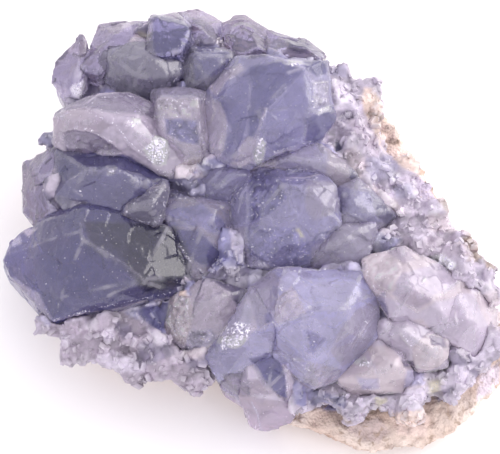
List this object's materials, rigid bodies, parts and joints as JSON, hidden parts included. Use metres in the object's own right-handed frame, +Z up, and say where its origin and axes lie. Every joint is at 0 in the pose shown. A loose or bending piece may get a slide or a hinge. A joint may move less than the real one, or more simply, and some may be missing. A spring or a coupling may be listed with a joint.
{
  "type": "celestine crystal cluster on matrix",
  "caption": "Hand specimen of blocky, see-through grey-violet crystals on a pale lilac crystalline crust, over cream host rock broken flat underneath.",
  "frame": {"origin": "centre of the bounding box on the plane of the flat base", "axes": "+X across the crystal face to its right, +Y to the back, +Z up; the face looks up and leans 25 degrees to the front"},
  "size_m": [0.1292, 0.11, 0.0539],
  "materials": {
    "host_rock": "rough, grainy, broken",
    "crystal_crust": "frosted, finely crystalline",
    "clear_crystal": "glossy, see-through, cloudy inside",
    "deep_crystal": "glossy, see-through, dark inside",
    "pale_crystal": "glossy, milky"
  },
  "bodies": {
    "root": {"host_rock": "host_rock", "crystal_crust": "crystal_crust", "crystal_upper_right": "clear_crystal", "crystal_lower_centre": "clear_crystal", "crystal_centre": "clear_crystal", "crystal_left_upper": "pale_crystal", "crystal_left_middle": "deep_crystal", "crystal_left": "deep_crystal", "crystal_square": "clear_crystal", "crystal_right_lobe": "pale_crystal", "crystal_upper_left": "deep_crystal", "crystal_upper_middle": "deep_crystal", "crystal_inner_left": "clear_crystal", "crystal_lower_left": "clear_crystal", "crystal_right_middle": "clear_crystal", "crystal_right_upper": "clear_crystal", "crystal_foot": "pale_crystal", "crystal_foot_left": "clear_crystal", "crystal_lower_right": "pale_crystal", "crystal_rim_left": "clear_crystal", "crystal_rim_top": "clear_crystal", "crystal_rim_west": "clear_crystal"}
  },
  "joints": []
}
